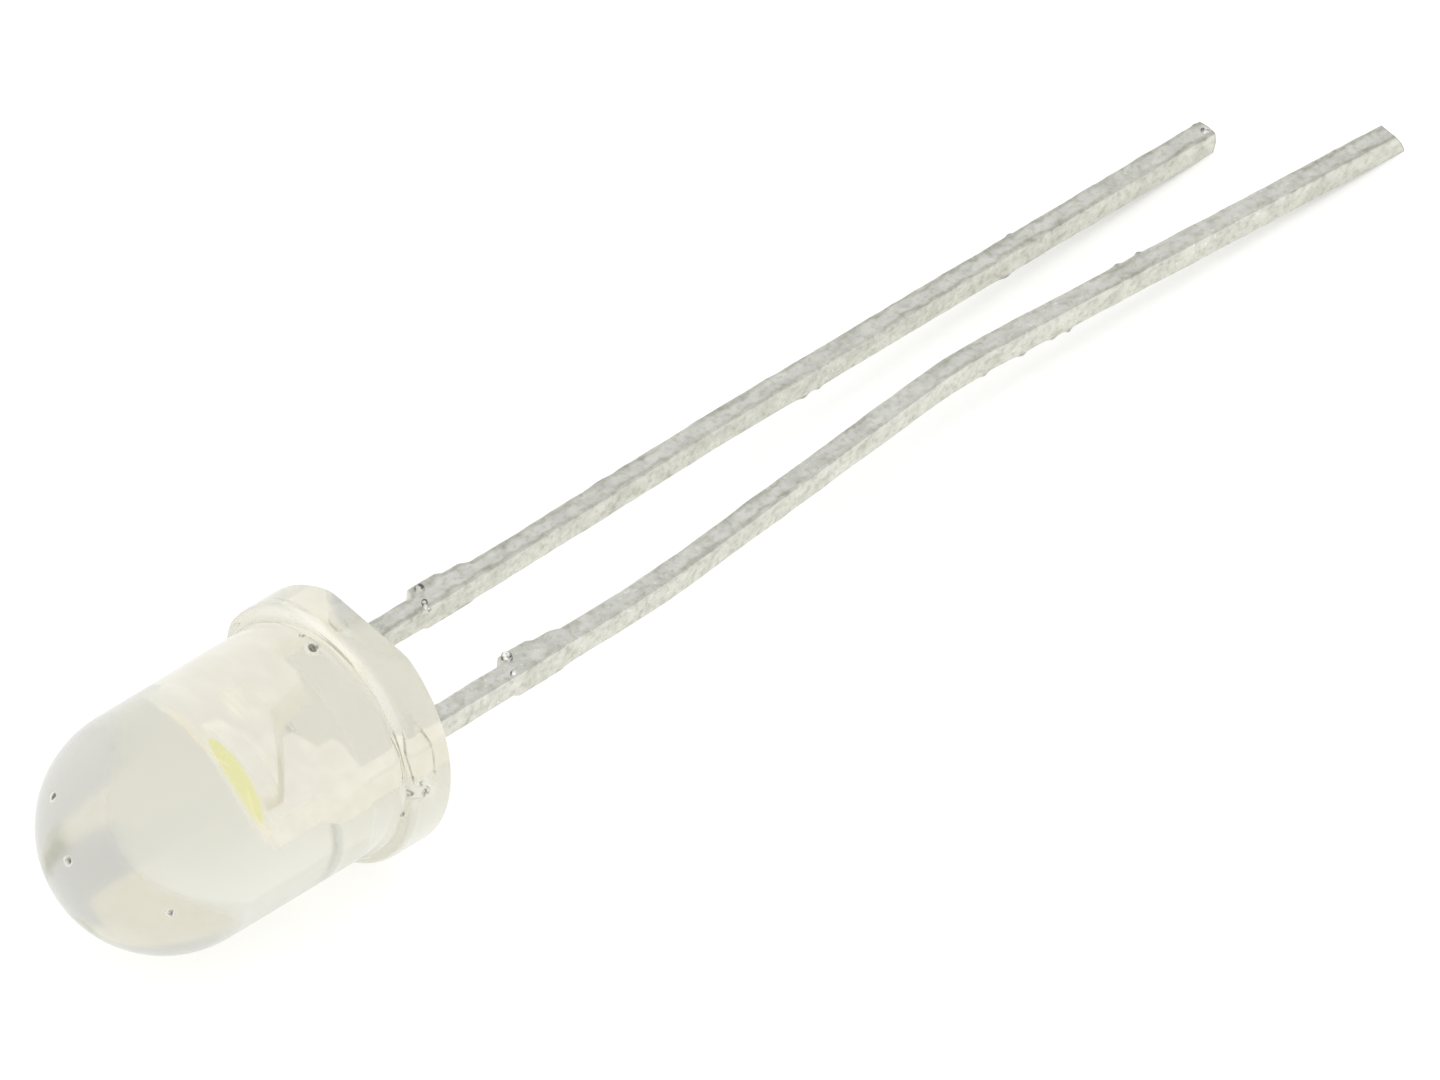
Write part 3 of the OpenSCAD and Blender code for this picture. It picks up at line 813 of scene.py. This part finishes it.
def tin_rings(name, lens, leads, columns=56, step=0.04):
    """Rings of the tin on one lead, and its shades: the edge runs from 0 in the middle of the
    sheet's face over 0.5 on the ridge to 1 in the middle of a cut side, and the dross is 1 on
    the top of a burr and on the worn rim of the tip. The section is a superellipse of power
    12, or 24 at the stub, whose four half widths swell at the stub; it is pushed out along
    its normal by noise and by a few burrs, and closes at the tip over the rounded or sheared
    end."""
    route = lead_route(name, lens, leads)
    rows = int((route.total - leads.tin_start) / (step * MM))
    along = np.linspace(leads.tin_start, route.total, rows)[:, None]
    around = np.linspace(0, 2 * np.pi, columns, endpoint=False)[None, :]
    at = along - leads.stub_place
    half_stub = leads.stub_length / 2
    blend = 0.07 * MM
    stub = smooth_step(at, -half_stub - 1.5 * blend, -half_stub + 0.2 * blend)
    near_stub = stub * (1 - smooth_step(at, half_stub - blend, half_stub + blend))
    far_stub = stub * (1 - smooth_step(at, half_stub, half_stub + 5 * blend))
    power = SECTION_POWER + (STUB_POWER - SECTION_POWER) * stub
    cosine, sine = np.cos(around), np.sin(around)
    unit_x = np.sign(cosine) * np.abs(cosine) ** (2 / power)
    unit_y = np.sign(sine) * np.abs(sine) ** (2 / power)
    upper = 1 - smooth_step(at, 0.10 * MM, 0.28 * MM)
    coat = leads.tin_thickness * smooth_step(along, leads.tin_start,
                                             leads.tin_start + 0.25 * MM)
    far = leads.width / 2 + coat + far_stub * leads.stub_out * (0.5 + 0.5 * upper)
    near = leads.width / 2 + coat + near_stub * leads.stub_proud
    face = leads.thickness / 2 + coat + far_stub * leads.stub_proud
    across = np.where(unit_x > 0, near, far) * unit_x
    front = face * unit_y
    normal_x = np.sign(unit_x) * np.abs(unit_x) ** (power - 1)
    normal_y = np.sign(unit_y) * np.abs(unit_y) ** (power - 1)
    size = np.hypot(normal_x, normal_y)
    normal_x, normal_y = normal_x / size, normal_y / size
    seed = TIN_SEEDS[name]
    spot = np.stack([along / 2.2 + 0 * across, across, front], axis=-1)
    swell = leads.tin_waves * (0.4 * layered_noise(spot, 0.5 * MM, seed)
                               + 0.35 * noise(spot, 0.13 * MM, seed + 9) + 0.1)
    swell = np.maximum(swell, -0.2 * leads.tin_thickness)
    swell = swell * smooth_step(along, leads.tin_start, leads.tin_start + 0.3 * MM)
    dross = 0 * swell
    for burr_name, distance, turn, height, spread in BURRS:
        if burr_name == name:
            off = np.angle(np.exp(1j * (around - math.radians(turn))))
            ring = bell(along, distance * MM, spread * MM)
            swell = swell + height * MM * ring * bell(off, 0, 0.35)
            dross = np.maximum(dross, ring * bell(off, 0, 0.7))
    across = across + swell * normal_x
    front = front + swell * normal_y
    nearly = smooth_step(along, route.total - 1.5 * MM, route.total)
    slide = tip_reach(name, across, front, leads) * nearly
    walls = route.place(along + slide, across, front)
    shrink = np.array([0.97, 0.9, 0.75, 0.5, 0.25, 0.05])[:, None]
    cap_across, cap_front = across[-1:] * shrink, front[-1:] * shrink
    grit = 0.012 * MM * noise(np.stack([cap_across, cap_front, 0 * cap_front], axis=-1),
                              0.09 * MM, seed + 5)
    cap_along = route.total + tip_reach(name, cap_across, cap_front, leads) + grit
    cap = route.place(cap_along, cap_across, cap_front)
    edge = np.broadcast_to(0.5 + 0.5 * (np.abs(unit_x) - np.abs(unit_y)), dross.shape)
    dross = np.maximum(dross, 0.5 * smooth_step(along, route.total - 0.09 * MM, route.total))
    rings = lay_down(np.concatenate([walls, cap]), lens, leads)
    repeat = np.ones_like(shrink)
    return rings, {"edge": np.concatenate([edge, repeat * edge[-1:]]),
                   "dross": np.concatenate([dross, repeat * dross[-1:]])}


# Burrs on the tin: lead, distance from the seating plane in mm, angle on the section in
# degrees from the anode's side, height and length in mm
BURRS = (
    ("cathode", 8.2, 140, 0.02, 0.25),
    ("cathode", 13.5, -45, 0.04, 0.12),
    ("cathode", 13.9, -40, 0.03, 0.08),
    ("cathode", 19.08, -45, 0.04, 0.16),
    ("cathode", 19.52, 128, 0.035, 0.08),
    ("cathode", 24.72, 128, 0.02, 0.07),
    ("anode", 16.6, -45, 0.035, 0.10),
    ("anode", 17.6, -45, 0.045, 0.12),
    ("anode", 18.4, -45, 0.035, 0.10),
    ("anode", 18.8, -43, 0.05, 0.08),
    ("anode", 20.4, 128, 0.03, 0.08),
    ("anode", 20.95, 128, 0.045, 0.07),
    ("anode", 24.66, 48, 0.03, 0.1),
)

# Beads of tin at the stubs and on the cathode's tip: lead, distance from the seating plane,
# place across the lead towards the anode's side and towards the sheet's front, and radius,
# all in mm
BEADS = (
    ("cathode", 3.29, -0.26, 0.29, 0.11),
    ("cathode", 3.09, 0.09, 0.29, 0.065),
    ("cathode", 3.02, 0.17, 0.27, 0.055),
    ("cathode", 3.08, 0.24, 0.22, 0.05),
    ("cathode", 24.72, 0.04, 0.2, 0.11),
    ("anode", 3.22, -0.27, 0.29, 0.125),
    ("anode", 3.00, 0.13, 0.27, 0.06),
)


def bead_rings(name, lens, leads):
    """Rings of each bead on one lead: a slightly lumpy ball."""
    route = lead_route(name, lens, leads)
    shells = []
    for i, (lead, distance, across, front, radius) in enumerate(BEADS):
        if lead == name:
            middle = route.place(np.array(distance * MM), across * MM, front * MM)
            shells.append(lay_down(ball(middle, radius * MM, BEAD_SEED + i, 0.15), lens, leads))
    return shells


class LED_OT_leads(bpy.types.Operator):
    """Plates both leads and coats them in uneven tin below the stubs, with its beads"""
    bl_idname = "led.leads"
    bl_label = "Leads"

    def execute(self, context):
        lens, leads = context.scene.led_epoxy, context.scene.led_leads
        plated, tin, bright = plated_material(leads), tin_material(leads), bead_material(leads)
        for name in ("cathode", "anode"):
            paint_node(f"{name}_lead", plated)
            rings, shades = tin_rings(name, lens, leads)
            make_piece(f"{name}_tin", [rings], tin, shades)
            make_piece(f"{name}_tin_beads", bead_rings(name, lens, leads), bright)
        return {"FINISHED"}


# What the cup holds

class LED_OT_cup_contents(bpy.types.Operator):
    """Finishes the phosphor, the chip, its adhesive and the bond wires"""
    bl_idname = "led.cup_contents"
    bl_label = "Cup contents"

    def execute(self, context):
        settings = context.scene.led_fill
        gold = gold_material(settings)
        paint_node("phosphor_fill", phosphor_material(settings))
        paint_node("led_chip", chip_material(settings))
        paint_node("die_attach", adhesive_material(settings))
        paint_node("anode_bond_wire", gold)
        paint_node("cathode_bond_wire", gold)
        return {"FINISHED"}


# Stage

def floor_material(stage):
    """Pale matt floor, with white added where the camera sees it, so that only a soft shadow
    shows on it, and somewhat less where glass and metal show it."""
    material = bpy.data.materials.new("pale_floor")
    material.use_nodes = True
    nodes, links = material.node_tree.nodes, material.node_tree.links
    nodes.clear()
    diffuse = nodes.new("ShaderNodeBsdfDiffuse")
    diffuse.inputs["Color"].default_value = (*stage.floor_colour, 1)
    white = nodes.new("ShaderNodeEmission")
    path = nodes.new("ShaderNodeLightPath")
    added = None
    for rays, strength in (("Is Camera Ray", stage.floor_lift), ("Is Glossy Ray", stage.floor_glow),
                           ("Is Transmission Ray", stage.floor_glow)):
        lift = nodes.new("ShaderNodeMath")
        lift.operation = "MULTIPLY"
        lift.inputs[1].default_value = strength
        links.new(path.outputs[rays], lift.inputs[0])
        if added:
            larger = nodes.new("ShaderNodeMath")
            larger.operation = "MAXIMUM"
            links.new(added, larger.inputs[0])
            links.new(lift.outputs["Value"], larger.inputs[1])
            lift = larger
        added = lift.outputs["Value"]
    links.new(added, white.inputs["Strength"])
    both = nodes.new("ShaderNodeAddShader")
    links.new(diffuse.outputs["BSDF"], both.inputs[0])
    links.new(white.outputs["Emission"], both.inputs[1])
    output = nodes.new("ShaderNodeOutputMaterial")
    links.new(both.outputs["Shader"], output.inputs["Surface"])
    return material


def make_floor(stage, columns=96):
    """Round floor just under the part, as rings about its middle."""
    around = np.linspace(0, 2 * np.pi, columns, endpoint=False)[None, :]
    radius = stage.floor_radius * np.array([1e-3, 0.1, 0.5, 1.0])[:, None]
    level = CAD_BOX[0][2]
    rings = np.stack([radius * np.cos(around), radius * np.sin(around),
                      level + 0 * radius * around], axis=-1)
    points = np.concatenate([rings.reshape(-1, 3), [[0, 0, level]]])
    j = np.arange(columns)
    middle = np.stack([j, (j + 1) % columns, np.full(columns, len(points) - 1)], axis=-1)
    mesh = bpy.data.meshes.new("floor")
    faces = grid_faces(*rings.shape[:2])[:, ::-1].tolist() + middle.tolist()
    mesh.from_pydata(points, [], faces)
    mesh.materials.append(floor_material(stage))
    floor = bpy.data.objects.new("floor", mesh)
    bpy.context.scene.collection.objects.link(floor)


def make_world(stage):
    """Even light from all round, and plain white where it is looked at. What metal mirrors
    runs from white to a cool grey towards the shaded side."""
    world = bpy.data.worlds.new("studio")
    world.use_nodes = True
    nodes, links = world.node_tree.nodes, world.node_tree.links
    nodes.clear()
    toward = nodes.new("ShaderNodeTexCoord").outputs["Generated"]

    def patch(direction, wide, narrow):
        """1 within the narrow angle from a direction, in degrees, and 0 past the wide one."""
        dot = nodes.new("ShaderNodeVectorMath")
        dot.operation = "DOT_PRODUCT"
        dot.inputs[1].default_value = Vector(direction).normalized()
        links.new(toward, dot.inputs[0])
        ramp = nodes.new("ShaderNodeMapRange")
        ramp.interpolation_type = "SMOOTHSTEP"
        ramp.inputs["From Min"].default_value = math.cos(math.radians(wide))
        ramp.inputs["From Max"].default_value = math.cos(math.radians(narrow))
        links.new(dot.outputs["Value"], ramp.inputs["Value"])
        return ramp.outputs["Result"]

    def background(colour, strength):
        """Light of one colour."""
        node = nodes.new("ShaderNodeBackground")
        node.inputs["Color"].default_value = (*colour, 1)
        node.inputs["Strength"].default_value = strength
        return node.outputs["Background"]

    def mix(factor, first, second):
        """Goes from the first light to the second with the factor."""
        node = nodes.new("ShaderNodeMixShader")
        links.new(factor, node.inputs["Fac"])
        links.new(first, node.inputs[1])
        links.new(second, node.inputs[2])
        return node.outputs["Shader"]

    white = background((1, 1, 1), 1)
    shade = patch(stage.shade_from, wide=80, narrow=10)
    mirrored = mix(shade, white, background(stage.shade_colour, 1))
    path = nodes.new("ShaderNodeLightPath")
    light = mix(path.outputs["Is Camera Ray"], background((1, 1, 1), stage.sky), white)
    light = mix(path.outputs["Is Glossy Ray"], light, mirrored)
    light = mix(path.outputs["Is Transmission Ray"], light, white)
    output = nodes.new("ShaderNodeOutputWorld")
    links.new(light, output.inputs["Surface"])
    bpy.context.scene.world = world


def make_lamp(name, place, target, size, strength):
    """Square lamp that faces a target, its power set so that its surface has the given
    brightness: strength times pi times its area."""
    lamp = bpy.data.lights.new(name, "AREA")
    lamp.shape = "SQUARE"
    lamp.size = size
    lamp.energy = strength * math.pi * size ** 2
    made = bpy.data.objects.new(name, lamp)
    made.location = place
    made.rotation_euler = (Vector(target) - Vector(place)).to_track_quat("-Z", "Y").to_euler()
    made.visible_glossy = made.visible_transmission = False
    bpy.context.scene.collection.objects.link(made)


def make_camera(stage, lens, leads):
    """Camera at the given angles from the lens's axis and about it, with the lens's axis
    running to the lower left of its picture."""
    dome, anode_side, front = axes_at_rest(lens, leads)
    theta, turn = stage.off_axis, stage.turn
    sight = math.cos(theta) * dome \
        + math.sin(theta) * (math.cos(turn) * front + math.sin(turn) * anode_side)
    up = np.array([0, 0, 1.0]) - sight[2] * sight
    up = up / np.linalg.norm(up)
    right = np.cross(up, sight)
    target = stage.centre_right * right + stage.centre_up * up
    camera = bpy.data.cameras.new("camera")
    camera.sensor_width = 36
    camera.lens = camera.sensor_width * stage.camera_distance / stage.view_width
    camera.clip_start, camera.clip_end = 0.01, 10
    made = bpy.data.objects.new("camera", camera)
    turn_to = Matrix((right, up, sight)).transposed()
    made.matrix_world = Matrix.Translation(target + stage.camera_distance * sight) \
        @ turn_to.to_4x4()
    bpy.context.scene.collection.objects.link(made)
    bpy.context.scene.camera = made


class LED_OT_stage(bpy.types.Operator):
    """Sets the floor, the light and the camera"""
    bl_idname = "led.stage"
    bl_label = "Stage"

    def execute(self, context):
        scene = context.scene
        make_floor(scene.led_stage)
        make_world(scene.led_stage)
        make_lamp("key", scene.led_stage.key_from, (0, 0, 0), scene.led_stage.key_size,
                  scene.led_stage.key_strength)
        make_camera(scene.led_stage, scene.led_epoxy, scene.led_leads)
        scene.view_settings.view_transform = "Standard"
        return {"FINISHED"}


class LED_PT_sidebar(bpy.types.Panel):
    """Lists the pieces of the LED and their settings"""
    bl_label = "Through-hole LED"
    bl_space_type = "VIEW_3D"
    bl_region_type = "UI"
    bl_category = "LED"

    def draw(self, context):
        for operator in OPERATORS:
            self.layout.operator(operator.bl_idname)
        for name, group in SETTINGS.items():
            box = self.layout.box()
            for prop in group.__annotations__:
                box.prop(getattr(context.scene, name), prop)


SETTINGS = {"led_epoxy": EpoxySettings, "led_leads": LeadSettings, "led_fill": FillSettings,
            "led_stage": StageSettings}
OPERATORS = (LED_OT_epoxy_body, LED_OT_leads, LED_OT_cup_contents, LED_OT_stage)


def register():
    """Registers the settings, the operators and the panel."""
    for group in (*SETTINGS.values(), *OPERATORS, LED_PT_sidebar):
        bpy.utils.register_class(group)
    for name, group in SETTINGS.items():
        setattr(bpy.types.Scene, name, PointerProperty(type=group))


def unregister():
    """Takes them away again."""
    for name in SETTINGS:
        delattr(bpy.types.Scene, name)
    for group in (LED_PT_sidebar, *OPERATORS, *SETTINGS.values()):
        bpy.utils.unregister_class(group)


def main():
    """Makes every piece and the stage."""
    register()
    bpy.ops.led.epoxy_body()
    bpy.ops.led.leads()
    bpy.ops.led.cup_contents()
    bpy.ops.led.stage()


if __name__ == "__main__":
    main()
